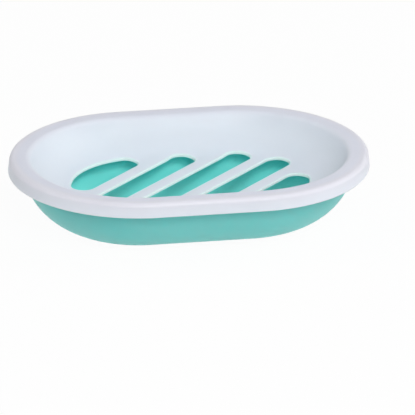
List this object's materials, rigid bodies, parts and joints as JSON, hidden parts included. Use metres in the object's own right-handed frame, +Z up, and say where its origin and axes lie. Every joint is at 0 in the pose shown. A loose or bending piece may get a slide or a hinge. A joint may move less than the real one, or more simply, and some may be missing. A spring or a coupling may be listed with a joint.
{
  "type": "soap dish",
  "caption": "Oval soap dish: a white tray with a broad rim and diagonal drain slots, resting on the rim of a teal bowl that catches the water",
  "frame": {"origin": "centre of the flat bottom of the bowl, on the surface that the dish stands on", "axes": "+X along the length of the dish, +Y across it, +Z up"},
  "size_m": [0.14, 0.1, 0.0275],
  "materials": {
    "teal_plastic": "satin moulded polypropylene, teal",
    "white_plastic": "satin moulded polypropylene, cool white"
  },
  "bodies": {
    "base": {"base_bowl": "teal_plastic"},
    "tray": {"drain_tray": "white_plastic"}
  },
  "joints": [
    {"name": "tray_lift", "type": "slide", "parent": "base", "child": "tray", "axis": [0, 0, 1], "range_m": [0, 0.03]}
  ]
}
